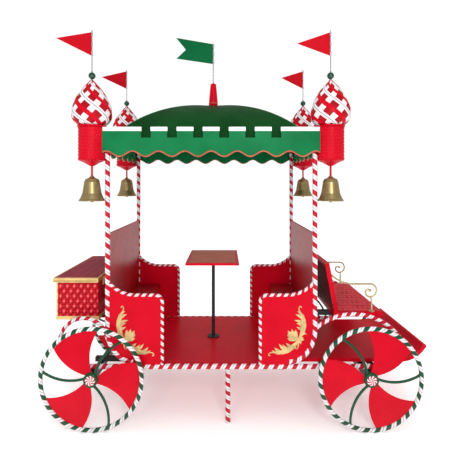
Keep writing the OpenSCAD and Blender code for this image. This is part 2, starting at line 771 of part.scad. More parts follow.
module body_brackets() placed() color("dimgray") both_sides() {
    block([wall_out, 280, seat_z - seat_t - bracket_t], [seat_x1 - 60, 320, seat_z - seat_t]);
    block([trunk_x0 + 30, 280, trunk_z0 - bracket_t], [-wall_out, 320, trunk_z0]);
}

module trunk_box() placed() color("red") difference() {
    block([trunk_x0, -end_half_w, trunk_z0], [trunk_x1, end_half_w, trunk_z1]);
    block([trunk_x0 + trunk_t, trunk_t - end_half_w, trunk_z0 + trunk_t],
        [trunk_x1 - trunk_t, end_half_w - trunk_t, trunk_z1 + 1]);
}

module trunk_trim() placed() color("gold") difference() {
    block([trunk_x0 - trim_t, -end_half_w - trim_t, trunk_z0],
        [trunk_x1 + trim_t, end_half_w + trim_t, trunk_z0 + trim_h]);
    block([trunk_x0, -end_half_w, trunk_z0 - 1], [trunk_x1, end_half_w, trunk_z0 + trim_h + 1]);
}

module at_hinges() both_sides() translate([0, hinge_y, 0]) children();

module knuckle(y0, y1, d) translate([pin_x, y1, pin_z]) rotate([90, 0, 0]) cylinder(h = y1 - y0, d = d);

// Fixed half: two knuckles, the pin through them and a leaf on the trunk's wall
module trunk_hinges() placed() color("gold") at_hinges() {
    knuckle(-42, 42, pin_d);
    for (y = [[-42, -21], [21, 42]]) {
        knuckle(y[0], y[1], knuckle_d);
        block([lid_x1 + 1, y[0], trunk_z1 - 12], [pin_x, y[1], pin_z]);
        block([trunk_x1, y[0], trunk_z1 - 50], [lid_x1 + 6, y[1], trunk_z1 - 1]);
    }
}

module lid_trim() placed() color("gold") {
    difference() {
        block([lid_x0, -lid_y - lid_trim_w, lid_z], [lid_x1, lid_y + lid_trim_w, lid_z + lid_t]);
        block([lid_x0 + lid_trim_w, -lid_y, lid_z - 1], [lid_x1 - lid_trim_w, lid_y, lid_z + lid_t + 1]);
    }
    at_hinges() difference() {
        union() {
            knuckle(-20, 20, knuckle_d);
            block([lid_x1 - 1, -20, pin_z - 4], [pin_x, 20, pin_z + 4]);
        }
        knuckle(-22, 22, pin_d + 2 * run_gap);
    }
}

module trunk_lid() placed() color("darkred")
    block([lid_x0 + lid_trim_w, -lid_y, lid_z], [lid_x1 - lid_trim_w, lid_y, lid_z + lid_t - 4]);

// ---- the pieces ----

floor_beams();
cross_members();
side_rails();
axles();
axle_blocks();
support_legs();
cabin_floor();
footwell_floor();
toe_board();
corner_posts();
side_panels();
panel_trim();
end_walls();
bench_risers();
bench_seats();
table_top();
table_column();
canopy_frame();
canopy_fascia();
roof_dome();
roof_finial();
centre_flag();
turret_drums();
bells();
turret_domes();
turret_spires();
pennants();
wheel_arches();
body_brackets();
trunk_box();
trunk_trim();
trunk_hinges();
trunk_lid();
lid_trim();
driver_seat();
driver_backrest();
arm_rails();
wheel_front_right();
wheel_front_left();
wheel_rear_right();
wheel_rear_left();
blades_front_right();
blades_front_left();
blades_rear_right();
blades_rear_left();
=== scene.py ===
import math

import bmesh
import bpy
import numpy as np
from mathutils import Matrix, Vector


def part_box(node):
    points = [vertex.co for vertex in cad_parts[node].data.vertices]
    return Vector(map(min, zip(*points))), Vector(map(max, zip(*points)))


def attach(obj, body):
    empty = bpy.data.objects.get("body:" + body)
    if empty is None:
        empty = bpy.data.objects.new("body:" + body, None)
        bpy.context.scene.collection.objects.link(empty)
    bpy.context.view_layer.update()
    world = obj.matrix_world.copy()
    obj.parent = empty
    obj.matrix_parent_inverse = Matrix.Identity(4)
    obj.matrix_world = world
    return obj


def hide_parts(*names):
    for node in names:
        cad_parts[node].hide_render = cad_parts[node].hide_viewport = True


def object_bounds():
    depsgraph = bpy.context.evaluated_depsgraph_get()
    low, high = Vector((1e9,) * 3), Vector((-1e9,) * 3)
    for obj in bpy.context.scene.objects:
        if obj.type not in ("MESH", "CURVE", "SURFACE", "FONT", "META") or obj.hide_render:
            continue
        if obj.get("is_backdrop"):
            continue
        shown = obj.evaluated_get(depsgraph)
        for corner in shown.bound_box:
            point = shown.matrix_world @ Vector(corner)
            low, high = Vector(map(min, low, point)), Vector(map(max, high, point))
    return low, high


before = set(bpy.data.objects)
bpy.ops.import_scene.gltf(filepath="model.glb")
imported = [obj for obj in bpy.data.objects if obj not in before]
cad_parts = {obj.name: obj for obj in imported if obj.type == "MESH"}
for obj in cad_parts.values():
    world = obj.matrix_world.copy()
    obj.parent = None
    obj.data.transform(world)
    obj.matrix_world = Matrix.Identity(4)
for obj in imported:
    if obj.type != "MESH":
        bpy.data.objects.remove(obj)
cadLow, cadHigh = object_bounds()
print("stage 1: coach frame loaded,", len(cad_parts), "nodes")

# sizes shared by several pieces, in metres, measured from the middle of the cabin
postLow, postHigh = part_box("corner_posts")
railLow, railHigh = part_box("side_rails")
cabinX = (postLow.x + postHigh.x) / 2
body = {"postX": 0.824, "postY": 0.6, "sheetY": 0.6102}  # sheetY is the outer face of the side panels


def gridFaces(rows, cols, wrapRows=False, wrapCols=False):
    # four sided faces of a grid of points, joined round on itself where asked
    r = np.arange(rows if wrapRows else rows - 1)
    c = np.arange(cols if wrapCols else cols - 1)
    r, c = np.meshgrid(r, c, indexing="ij")
    r2, c2 = (r + 1) % rows, (c + 1) % cols
    quads = np.stack([r * cols + c, r * cols + c2, r2 * cols + c2, r2 * cols + c], -1)
    return quads.reshape(-1, 4)


class Shape:
    # gathers the points and faces of one piece, each face with its finish number
    def __init__(self):
        self.points, self.faces, self.finish, self.count = [], [], [], 0

    def add(self, points, faces, finish=0, outward=None):
        points = np.asarray(points, float).reshape(-1, 3)
        faces = [list(f) for f in faces]
        if outward is not None:
            # turn the whole patch round if it faces inwards
            tri = np.array([f[:3] for f in faces])
            a, b, c = points[tri[:, 0]], points[tri[:, 1]], points[tri[:, 2]]
            if (np.cross(b - a, c - a) @ np.asarray(outward, float)).sum() < 0:
                faces = [f[::-1] for f in faces]
        self.points.append(points)
        self.faces += [[i + self.count for i in f] for f in faces]
        self.finish += list(np.broadcast_to(finish, len(faces)))
        self.count += len(points)

    def finishPiece(self, name, materials, ridesOn="coach", slot="gloss_red", replaces=(), recalc=True, smooth=35):
        # the gathered faces become a piece that rides on that body and stands for the replaced nodes
        mesh = bpy.data.meshes.new(name)
        mesh.from_pydata(np.concatenate(self.points).tolist(), [], self.faces)
        for material in materials:
            mesh.materials.append(material)
        mesh.polygons.foreach_set("material_index", np.array(self.finish, dtype=np.int32))
        if recalc:
            bm = bmesh.new()
            bm.from_mesh(mesh)
            bmesh.ops.recalc_face_normals(bm, faces=bm.faces)
            bm.to_mesh(mesh)
            bm.free()
        mesh.polygons.foreach_set("use_smooth", [True] * len(mesh.polygons))
        mesh.set_sharp_from_angle(angle=math.radians(smooth))
        mesh.update()
        piece = bpy.data.objects.new(name, mesh)
        bpy.context.scene.collection.objects.link(piece)
        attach(piece, ridesOn)
        if replaces:
            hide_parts(*replaces)


def unit(v):
    v = np.asarray(v, float)
    return v / np.maximum(np.linalg.norm(v, axis=-1, keepdims=True), 1e-12)


def flatPath(steps, step):
    # steps are ("line", start, end) and ("arc", centre, radius, from, to) in the x-z plane
    points = []
    for part in steps:
        if part[0] == "line":
            a, b = np.array(part[1], float), np.array(part[2], float)
            n = max(1, round(np.linalg.norm(b - a) / step))
            new = a + (b - a) * np.linspace(0, 1, n + 1)[:, None]
        else:
            n = max(3, round(abs(math.radians(part[4] - part[3])) * part[2] / step))
            angle = np.radians(np.linspace(part[3], part[4], n + 1))
            new = np.array(part[1]) + part[2] * np.stack([np.cos(angle), np.sin(angle)], -1)
        points += list(new[1:] if points else new)
    return np.array(points)


def onSide(path, y, mirror=1):
    # a path in the x-z plane, put at that y, in the coach's own frame
    return np.stack([mirror * path[:, 0] + cabinX, np.full(len(path), y), path[:, 1]], -1)


def tube(shape, points, across, radius, lead=0.0, columns=24, pattern=None, closed=False, lift=0.0):
    # a bar along points; with a lead its columns wind round it left handed and carry the stripes,
    # and the columns of the red or green ones lie lower by lift
    points = np.asarray(points, float)
    across = unit(across)
    ahead = np.roll(points, -1, 0) if closed else np.vstack([points[1:], points[-1:]])
    behind = np.roll(points, 1, 0) if closed else np.vstack([points[:1], points[:-1]])
    along = unit(ahead - behind)
    side = unit(np.cross(across, along))
    gaps = np.linalg.norm(ahead - points, axis=1)
    run = np.concatenate([[0], np.cumsum(gaps)])[:len(points)]
    turn = -2 * math.pi * run / lead if lead else np.zeros(len(points))
    angle = turn[:, None] + 2 * math.pi * np.arange(columns) / columns
    radii = np.broadcast_to(radius, (len(points),))[:, None] * np.ones((1, columns))
    if pattern is not None:
        high = np.array([p == 1 for p in pattern])
        raised = high | np.roll(high, 1)
        radii = radii - np.where(raised, 0, lift)
    up = np.cross(along, side)
    spoke = np.cos(angle)[..., None] * side[:, None] + np.sin(angle)[..., None] * up[:, None]
    rings = points[:, None] + radii[..., None] * spoke
    faces = gridFaces(len(points), columns, closed, True)
    finish = np.tile(pattern if pattern is not None else [0] * columns, len(faces) // columns)
    shape.add(rings, faces, finish)
    if not closed:
        base = shape.count - len(points) * columns
        shape.faces.append([base + i for i in range(columns)])
        shape.faces.append([base + (len(points) - 1) * columns + i for i in range(columns)][::-1])
        shape.finish += [0, 0]


def lathe(shape, centre, profile, segments=48, finish=0, axis="z", out=1):
    # profile is (radius, height) along the axis, and out turns it round on a wheel's left side
    profile = np.asarray(profile, float)
    angle = 2 * math.pi * np.arange(segments) / segments
    r, h = profile[:, :1], profile[:, 1:]
    a, b, c = r * np.cos(angle), r * np.sin(angle), h * np.ones(segments)
    points = np.stack([a, b, c], -1) if axis == "z" else np.stack([a, c * out, b], -1)
    shape.add(points + np.array(centre), gridFaces(len(profile), segments, False, True), finish)


def chamferBox(shape, low, high, cut=0.002, finish=0):
    # a block with its edges taken off
    low, high = np.array(low, float), np.array(high, float)
    bm = bmesh.new()
    bmesh.ops.create_cube(bm, size=1)
    for v in bm.verts:
        v.co = Vector(((low + high) / 2 + np.array(v.co) * (high - low)).tolist())
    bmesh.ops.bevel(bm, geom=list(bm.edges), offset=cut, segments=2, profile=0.5, affect="EDGES")
    bm.verts.index_update()
    shape.add([v.co[:] for v in bm.verts], [[v.index for v in f.verts] for f in bm.faces], finish)
    bm.free()


def relief(shape, corner, uWay, vWay, width, height, cell, rise, shadeShare=0.4, crown=9.0, seat=0.0006):
    # a thin sheet laid on a face; rise(u, v) gives how far it stands out of it
    # faces below the first share of the full rise take finish 1, a darker painted shade in the grooves, and faces
    # above the second share take finish 2, a paler painted highlight on the crowns
    uWay, vWay = unit(uWay), unit(vWay)
    out = np.cross(uWay, vWay)
    nu, nv = max(2, round(width / cell) + 1), max(2, round(height / cell) + 1)
    u, v = np.meshgrid(np.linspace(0, width, nu), np.linspace(0, height, nv), indexing="xy")
    h = rise(u, v)
    level = (h[:-1, :-1] + h[1:, :-1] + h[:-1, 1:] + h[1:, 1:]).reshape(-1) / 4
    # finish 1 is painted shade low in the grooves, finish 2 a painted highlight high on the crowns
    finish = (level < shadeShare * h.max()) + 2 * (level > crown * h.max())
    h = h + seat
    edge = np.minimum(np.minimum(u, width - u), np.minimum(v, height - v))
    h = h * np.clip(edge / cell, 0.2, 1)
    top = np.array(corner) + u[..., None] * uWay + v[..., None] * vWay + h[..., None] * out
    shape.add(top, gridFaces(nv, nu), finish, outward=out)


def paint(name, colour, rough=0.3, metal=0.0, mottle=0.10, cloudSize=5.0, grain=240.0, bump=0.04,
          specular=0.35, coat=0.0, dust=0.0, stretch=(1, 1, 1)):
    # sprayed or brushed finish: soft clouds of colour, uneven gloss, fine grain, dust low down
    material = bpy.data.materials.new(name)
    material.use_nodes = True
    tree = material.node_tree
    shader = tree.nodes["Principled BSDF"]
    link = tree.links.new
    coords = tree.nodes.new("ShaderNodeTexCoord")
    mapping = tree.nodes.new("ShaderNodeMapping")
    mapping.inputs["Scale"].default_value = stretch
    link(coords.outputs["Object"], mapping.inputs["Vector"])

    def noise(scale, detail):
        node = tree.nodes.new("ShaderNodeTexNoise")
        node.inputs["Scale"].default_value = scale
        node.inputs["Detail"].default_value = detail
        link(mapping.outputs["Vector"], node.inputs["Vector"])
        return node.outputs["Fac"]

    ramp = tree.nodes.new("ShaderNodeValToRGB")
    ramp.color_ramp.elements[0].position = 0.32
    ramp.color_ramp.elements[1].position = 0.68
    ramp.color_ramp.elements[0].color = [c * (1 - mottle) for c in colour] + [1]
    ramp.color_ramp.elements[1].color = [min(1, c * (1 + mottle * 0.5) + 0.002) for c in colour] + [1]
    link(noise(cloudSize, 4), ramp.inputs["Fac"])
    colourOut = ramp.outputs["Color"]
    if dust:
        split = tree.nodes.new("ShaderNodeSeparateXYZ")
        link(coords.outputs["Object"], split.inputs["Vector"])
        low = tree.nodes.new("ShaderNodeMapRange")
        low.inputs["From Min"].default_value = 0.0
        low.inputs["From Max"].default_value = 0.6
        low.inputs["To Min"].default_value = dust
        low.inputs["To Max"].default_value = 0.0
        link(split.outputs["Z"], low.inputs["Value"])
        spread = tree.nodes.new("ShaderNodeMath")
        spread.operation = "MULTIPLY"
        link(low.outputs["Result"], spread.inputs[0])
        link(noise(40, 5), spread.inputs[1])
        mix = tree.nodes.new("ShaderNodeMix")
        mix.data_type = "RGBA"
        link(spread.outputs["Value"], mix.inputs["Factor"])
        link(colourOut, mix.inputs["A"])
        mix.inputs["B"].default_value = (0.32, 0.27, 0.22, 1)
        colourOut = mix.outputs["Result"]
    link(colourOut, shader.inputs["Base Color"])
    gloss = tree.nodes.new("ShaderNodeMapRange")
    gloss.inputs["To Min"].default_value = rough * 0.8
    gloss.inputs["To Max"].default_value = min(1, rough * 1.25)
    link(noise(28, 4), gloss.inputs["Value"])
    link(gloss.outputs["Result"], shader.inputs["Roughness"])
    lumps = tree.nodes.new("ShaderNodeBump")
    lumps.inputs["Strength"].default_value = bump
    lumps.inputs["Distance"].default_value = 0.001
    link(noise(grain, 2), lumps.inputs["Height"])
    link(lumps.outputs["Normal"], shader.inputs["Normal"])
    shader.inputs["Metallic"].default_value = metal
    shader.inputs["Specular IOR Level"].default_value = specular
    shader.inputs["Coat Weight"].default_value = coat
    shader.inputs["Coat Roughness"].default_value = 0.08
    return material


# colour, then how the finish differs from plain enamel
finishSheet = {
    "glossRed": ((0.54, 0.0, 0.012), dict(rough=0.32, specular=0.07, mottle=0.08, dust=0.06)),
    "deepRed": ((0.34, 0.001, 0.005), dict(rough=0.36, specular=0.16, mottle=0.16)),
    "reliefRed": ((0.50, 0.0, 0.009), dict(rough=0.3, specular=0.2, mottle=0.12)),
    "lidRed": ((0.34, 0.030, 0.058), dict(rough=0.5, specular=0.1, mottle=0.2)),
    "backRed": ((0.25, 0.003, 0.010), dict(rough=0.45, specular=0.12, mottle=0.2)),
    "stripeRed": ((0.46, 0.002, 0.018), dict(rough=0.3, specular=0.2, dust=0.1, cloudSize=14)),
    "stripeWhite": ((0.74, 0.71, 0.73), dict(rough=0.32, specular=0.25, mottle=0.07, dust=0.2, cloudSize=14)),
    "stripeLine": ((0.17, 0.11, 0.14), dict(rough=0.4, mottle=0.3, cloudSize=60)),
    "wheelGreen": ((0.002, 0.064, 0.027), dict(rough=0.28, specular=0.2, mottle=0.2, dust=0.12)),
    "fasciaGreen": ((0.0, 0.155, 0.046), dict(rough=0.36, specular=0.08, mottle=0.16)),
    "roofGreen": ((0.0, 0.055, 0.006), dict(rough=0.42, specular=0.12, mottle=0.25, cloudSize=3.5)),
    # paler green on the hip seams: a seam tone that is partly a painted highlight along the hips
    "seamGreenPaintedSheen": ((0.02, 0.15, 0.05), dict(rough=0.3, mottle=0.2)),
    "flagGreen": ((0.0, 0.115, 0.034), dict(rough=0.5, specular=0.08, mottle=0.12, grain=900, bump=0.12)),
    "flagRed": ((0.47, 0.0, 0.008), dict(rough=0.5, specular=0.08, mottle=0.12, grain=900, bump=0.12)),
    "ballGreen": ((0.0, 0.055, 0.026), dict(rough=0.14, specular=0.5, coat=0.2, mottle=0.2)),
    "copper": ((0.52, 0.11, 0.06), dict(rough=0.3, metal=0.3, mottle=0.25, cloudSize=18)),
    # pale pink on the quilting's crowns: a painted highlight
    "crownPink": ((0.86, 0.085, 0.11), dict(rough=0.2, specular=0.6, mottle=0.1)),
    # darker red in the grooves: painted shade
    "paintedShadeRed": ((0.30, 0.0, 0.006), dict(rough=0.5, specular=0.1, mottle=0.2)),
    "seatRed": ((0.60, 0.008, 0.022), dict(rough=0.4, specular=0.2, mottle=0.14)),
    # near black in the grooves: painted shade
    "paintedShadeDark": ((0.075, 0.003, 0.008), dict(rough=0.5, specular=0.1, mottle=0.2)),
    # darker brown in the inlay's grooves: painted shade
    "paintedShadeBrown": ((0.22, 0.022, 0.014), dict(rough=0.4, specular=0.2, mottle=0.2)),
    "shadowGold": ((0.36, 0.23, 0.085), dict(rough=0.5, metal=0.2, mottle=0.25, cloudSize=20)),
    "capWhite": ((0.86, 0.87, 0.86), dict(rough=0.35, mottle=0.06, cloudSize=12)),
    "brass": ((0.44, 0.33, 0.15), dict(rough=0.34, metal=0.85, mottle=0.14,
                                       cloudSize=7, grain=500, bump=0.03)),
    "paleGold": ((0.70, 0.51, 0.23), dict(rough=0.38, metal=0.25, mottle=0.28,
                                          cloudSize=22, grain=500, bump=0.1)),
    "trunkGold": ((0.76, 0.53, 0.21), dict(rough=0.35, metal=0.3, mottle=0.2, cloudSize=16)),
    "railBrass": ((0.58, 0.47, 0.26), dict(rough=0.28, metal=0.7, mottle=0.25, cloudSize=20)),
    "steel": ((0.55, 0.53, 0.54), dict(rough=0.25, metal=0.8, mottle=0.15, grain=600, stretch=(6, 6, 1))),
    "blackIron": ((0.015, 0.014, 0.016), dict(rough=0.42, mottle=0.4, cloudSize=12,
                                              grain=320, bump=0.15, dust=0.2)),
    "tableTop": ((0.52, 0.115, 0.055), dict(rough=0.4, specular=0.12, mottle=0.3,
                                            cloudSize=9, stretch=(1, 7, 1))),
}
finishes = {name: paint(name, colour, **look) for name, (colour, look) in finishSheet.items()}
print("stage 2:", len(finishes), "finishes mixed")

# the frame's own pieces that show as they are, by finish
paintPlan = {
    "glossRed": ["cabin_floor", "footwell_floor", "toe_board", "side_panels", "bench_risers", "trunk_box",
                 "driver_seat", "driver_backrest", "turret_drums", "table_top", "blades_front_right",
                 "blades_front_left", "blades_rear_right", "blades_rear_left"],
    "deepRed": ["end_walls", "bench_seats"],
    "lidRed": ["trunk_lid"],
    "trunkGold": ["trunk_trim", "lid_trim", "trunk_hinges"],
    "railBrass": ["arm_rails"],
    "brass": ["bells"],
    "roofGreen": ["canopy_frame", "roof_dome"],
    "fasciaGreen": ["canopy_fascia"],
    "flagGreen": ["centre_flag"],
    "flagRed": ["pennants"],
    "blackIron": ["axles", "axle_blocks", "floor_beams", "cross_members", "body_brackets", "table_column"],
}
for finishName, names in paintPlan.items():
    for name in names:
        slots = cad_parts[name].data.materials
        slots.clear()
        slots.append(finishes[finishName])


# candy striped bars
stripe = {
    "columns": 24, "ringStep": 0.0052, "trimStep": 0.0045, "lift": 0.0005,
    "post": (0.020, 0.0825), "rail": (0.021, 0.0755), "trim": (0.014, 0.056),  # radius, lead of the winding
    "arch": (0.016, 0.071), "leg": (0.021, 0.070),
    "railZ": 0.483,
}
# finish numbers round a bar: 0 red, 1 white, 2 the thin line down the white
whiteColumns = [1] * 5 + [2] + [1] * 6
stripeFinishes = [finishes["stripeRed"], finishes["stripeWhite"], finishes["stripeLine"]]


def stripedBars(name, paths, bar, node):
    # every bar of a kind is one piece, wound red and white, with the white a little raised
    shape = Shape()
    for points in paths:
        tube(shape, points, (0, 1, 0), *stripe[bar], stripe["columns"], [0] * 12 + whiteColumns,
             lift=stripe["lift"])
    shape.finishPiece(name, stripeFinishes, slot="candy_stripe", replaces=(node,), smooth=60)


def bothSides(steps, y=body["postY"], mirrors=(1,), step=stripe["ringStep"]):
    path = flatPath(steps, step)
    return [onSide(path, side * y, mirror) for side in (-1, 1) for mirror in mirrors]


# centre lines in the x-z plane, from the middle of the cabin
postLine = [("arc", (0.618, 0.7024), 0.1781, -90, -40), ("arc", (0.5267, 0.779), 0.2973, -40, 0),
            ("line", (body["postX"], 0.779), (body["postX"], postHigh.z))]
trimLine = [("line", (0.390, 0.500), (0.390, 0.995)), ("arc", (0.445, 0.995), 0.055, 180, 90),
            ("line", (0.445, 1.050), (0.600, 1.050)), ("arc", (0.600, 1.3331), 0.2831, -90, -38.5)]
railLine = [("line", (railLow.x - cabinX, stripe["railZ"]), (railHigh.x - cabinX, stripe["railZ"]))]
frontArch = [("arc", (1.130, 0.440), 0.458, 38, 131.6)]
rearArch = [("arc", (-1.013, 0.675), 0.191, 8, 172)]
legLow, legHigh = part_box("support_legs")
legX = (legLow.x + legHigh.x) / 2 - cabinX
legLine = [("line", (legX, 0.0), (legX, legHigh.z))]

stripedBars("stripedPosts", bothSides(postLine, mirrors=(1, -1)), "post", "corner_posts")
stripedBars("stripedRails", bothSides(railLine), "rail", "side_rails")
stripedBars("stripedTrim", bothSides(trimLine, mirrors=(1, -1), step=stripe["trimStep"]), "trim", "panel_trim")
stripedBars("stripedArches", bothSides(frontArch) + bothSides(rearArch), "arch", "wheel_arches")
stripedBars("stripedLegs", bothSides(legLine, legHigh.y - stripe["leg"][0]), "leg", "support_legs")
print("stage 3: striped bars wound")


# rims, spokes and hubs; the red blades stay as the frame has them
wheel = {
    "y": 0.67, "z": 0.412, "rimPath": 0.3945, "rimR": 0.0175, "stripes": 28, "rimSteps": 560,
    "spokeR": 0.010, "swirlR": 0.375, "hubIn": 0.040, "hubLead": 6, "bore": 0.017,
    "hubR": 0.055, "hubHalf": 0.025, "sweetR": 0.040, "sweetRise": 0.005, "sweetStripes": 16, "sweetTwist": 0.9,
    "ends": {"front": (1.245, 1, 66), "rear": (-0.934, -1, 70)},  # hub's x, way the swirl turns, first angle
}


def swirlPoints():
    # the curve of a spoke in the wheel's own plane, from the hub to the rim
    lead = math.radians(wheel["hubLead"])
    a = wheel["hubIn"] * np.array([math.cos(lead), math.sin(lead)])
    b = np.array([wheel["rimPath"], 0.0])
    d = b - a
    off = math.sqrt(wheel["swirlR"] ** 2 - d @ d / 4) / np.linalg.norm(d)
    c = (a + b) / 2 + off * np.array([-d[1], d[0]])
    a0, a1 = (math.atan2(*(p - c)[::-1]) for p in (a, b))
    angle = np.linspace(a0, a1, 40)
    return c + wheel["swirlR"] * np.stack([np.cos(angle), np.sin(angle)], -1)


def wheelPiece(end, sideName, side):
    hubX, flip, phase = wheel["ends"][end]
    centreX, y = hubX + cabinX, side * wheel["y"]
    shape = Shape()

    def place(flat):
        return np.stack([centreX + flip * flat[:, 0], np.full(len(flat), y), wheel["z"] + flat[:, 1]], -1)

    # rim, wound green and white like the bars
    steps = wheel["rimSteps"]
    angle = np.linspace(0, 2 * math.pi, steps, endpoint=False)
    ring = wheel["rimPath"] * np.stack([np.cos(angle), np.sin(angle)], -1)
    length = 2 * wheel["rimPath"] * math.sin(math.pi / steps) * steps
    tube(shape, place(ring), (0, 1, 0), wheel["rimR"], length / wheel["stripes"], stripe["columns"],
         [3] * 12 + whiteColumns, closed=True, lift=stripe["lift"])
    # spokes, swollen a little where they are welded to the hub and the rim
    swirl = swirlPoints()
    t = np.linspace(0, 1, len(swirl))
    hubWeld, rimWeld = np.exp(-((t - 0.04) / 0.03) ** 2), np.exp(-((t - 0.95) / 0.02) ** 2)
    swell = wheel["spokeR"] * (1 + 0.25 * hubWeld + 0.2 * rimWeld)
    for i in range(3):
        turn = math.radians(phase + 60 + 120 * i)
        spin = np.array([[math.cos(turn), math.sin(turn)], [-math.sin(turn), math.cos(turn)]])
        tube(shape, place(swirl @ spin), (0, 1, 0), swell, 0, 14, [3] * 14)
    # hub with a bead, and the domed sweet on its outer face
    h, r = wheel["hubHalf"], wheel["hubR"]
    hubSide = [(wheel["bore"], -h), (r - 0.003, -h), (r, -h + 0.003), (r, -0.006), (r + 0.002, -0.003),
               (r + 0.002, 0.003), (r, 0.006), (r, h - 0.003), (r - 0.003, h), (0.048, h + 0.001),
               (0.046, h + 0.0042), (0.043, h + 0.0046), (0.0405, h + 0.002), (0.0, h + 0.002)]
    lathe(shape, (centreX, y, wheel["z"]), hubSide, 56, 3, "y", side)
    rows, cols = 9, wheel["sweetStripes"] * 4
    rad = np.linspace(0.0008, wheel["sweetR"], rows)[:, None]
    share = rad / wheel["sweetR"]
    fan = 2 * math.pi * np.arange(cols) / cols + side * flip * wheel["sweetTwist"] * share + math.radians(phase)
    rise = wheel["sweetRise"] * np.sqrt(np.clip(1 - share ** 2, 0, 1)) + 0 * fan
    points = np.stack([centreX + rad * np.cos(fan), y + side * (h + 0.0015 + rise),
                       wheel["z"] + rad * np.sin(fan)], -1)
    faces = gridFaces(rows, cols, False, True)
    sectors = [0 if (f // 4) % 2 else 1 for f in np.arange(len(faces)) % cols]
    shape.add(points, faces, sectors, outward=(0, side, 0))
    node = "wheel_%s_%s" % (end, sideName)
    shape.finishPiece("wheel" + end.title() + sideName.title(), stripeFinishes + [finishes["wheelGreen"]],
                      node + "_body", "green_stripe", (node,), smooth=50)


for end in wheel["ends"]:
    for sideName, side in (("right", -1), ("left", 1)):
        wheelPiece(end, sideName, side)
print("stage 4: wheels laced")


# panels pressed in diamonds, bricks and ribs, laid on the plain faces of the frame
def quilting(w, h, rise, buttons=False):
    # diamonds pressed in sheet, w by h, with a small button where the grooves cross if asked
    def f(u, v):
        a, b = u / w + v / h, u / w - v / h
        cushion = (np.abs(np.sin(math.pi * a)) * np.abs(np.sin(math.pi * b))) ** 0.7
        crossing = np.cos(math.pi * a) ** 2 * np.cos(math.pi * b) ** 2
        return rise * np.maximum(cushion, buttons * np.clip((crossing - 0.82) / 0.18, 0, 1) ** 0.5)
    return f


def bricks(long, wide, rise, bevel):
    # staggered bricks, long along u and wide along v, with a bevel down to the joints
    def f(u, v):
        row = np.floor(v / wide)
        a = (0.5 - np.abs((u / long + 0.5 * (row % 2)) % 1 - 0.5)) * long
        b = (0.5 - np.abs((v / wide) % 1 - 0.5)) * wide
        return rise * np.clip(np.minimum(a, b) / bevel, 0, 1) ** 0.7
    return f


def ribs(pitch, rise, slant):
    # round topped ribs that run at 45 degrees, leaning to the side that slant gives
    def f(u, v):
        return rise * np.abs(np.sin(math.pi * (u + slant * v) / pitch)) ** 0.8
    return f


def finishPanel(shape, name, *look, ridesOn="coach", slot="deep_red"):
    # look is the finish of its slopes, then the darker one painted in its grooves as painted shade, then the paler
    # one painted on its crowns as a painted highlight
    shape.finishPiece(name, [finishes[n] for n in look], ridesOn, slot, recalc=False, smooth=50)


trunk = {"w": 0.0562, "h": 0.082, "rise": 0.0078, "cell": 0.0032, "crown": 0.87, "plinth": 0.029, "topGap": 0.002,
         "angleW": 0.007, "angleProud": 0.0065, "angleCut": 0.0015}
trunkLow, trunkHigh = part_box("trunk_box")
panelLow, panelTop = trunkLow.z + trunk["plinth"], trunkHigh.z - trunk["topGap"]
trunkPattern = quilting(trunk["w"], trunk["h"], trunk["rise"], buttons=True)
trunkLong, trunkWide = trunkHigh.x - trunkLow.x, trunkHigh.y - trunkLow.y
shape = Shape()
for corner, way, width in (((trunkLow.x, trunkLow.y), 1, trunkLong), ((trunkHigh.x, trunkHigh.y), -1, trunkLong),
                           ((trunkLow.x, trunkHigh.y), 0, trunkWide)):
    # way 0 is the rear face, which runs across the coach
    relief(shape, (*corner, panelLow), (way, 0 if way else -1, 0), (0, 0, 1), width, panelTop - panelLow,
           trunk["cell"], trunkPattern, crown=trunk["crown"])
# the trunk's grooves take a darker red as painted shade, and its crowns a pale pink as a painted highlight
finishPanel(shape, "trunkQuilting", "reliefRed", "paintedShadeRed", "crownPink", slot="gloss_red")

# gold angles on the trunk's rear edges: one leg on the rear face and one on the side
shape = Shape()
wide, proud = trunk["angleW"], trunk["angleProud"]
for y, sy in ((trunkLow.y, -1), (trunkHigh.y, 1)):
    for a, b in (((trunkLow.x + wide, y), (trunkLow.x - 0.006, y + sy * proud)),
                 ((trunkLow.x, y - sy * wide), (trunkLow.x - 0.0062, y + sy * 0.006))):
        low, high = np.minimum(a, b), np.maximum(a, b)
        chamferBox(shape, (*low, panelLow), (*high, panelTop), trunk["angleCut"])
shape.finishPiece("trunkAngles", [finishes["trunkGold"]], slot="pale_gold")

lid = {"border": 0.004, "ribLong": 0.6, "ribWide": 0.033, "rise": 0.0036, "bevel": 0.008, "cell": 0.0035,
       "beadOut": 0.0085, "beads": ((0.012, 0.0045, 1), (0.030, 0.0055, 0))}  # height, radius, finish of each bead
lidLow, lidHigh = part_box("trunk_lid")
shape = Shape()
relief(shape, (lidLow.x + lid["border"], lidHigh.y - lid["border"], lidHigh.z), (0, -1, 0), (1, 0, 0),
       lidHigh.y - lidLow.y - 2 * lid["border"], lidHigh.x - lidLow.x - 2 * lid["border"], lid["cell"],
       bricks(lid["ribLong"], lid["ribWide"], lid["rise"], lid["bevel"]))
# the lid's joints take a near black as painted shade
finishPanel(shape, "lidRibs", "lidRed", "paintedShadeDark", ridesOn="lid")

# two beads along the lid's moulding, the lower one darker
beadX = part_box("lid_trim")[0].x + 0.006
beadY = (lidLow.y - lid["beadOut"], lidHigh.y + lid["beadOut"])
shape = Shape()
for up, r, tone in lid["beads"]:
    z = lidLow.z + up
    for y in beadY:
        tube(shape, [(x, y, z) for x in np.linspace(beadX, lidHigh.x, 24)], (0, 1, 0), r, columns=12,
             pattern=[tone] * 12)
    tube(shape, [(beadX, y, z) for y in np.linspace(*beadY, 40)], (0, 0, 1), r, columns=12, pattern=[tone] * 12)
shape.finishPiece("lidBeads", [finishes["trunkGold"], finishes["shadowGold"]], "lid", "pale_gold")

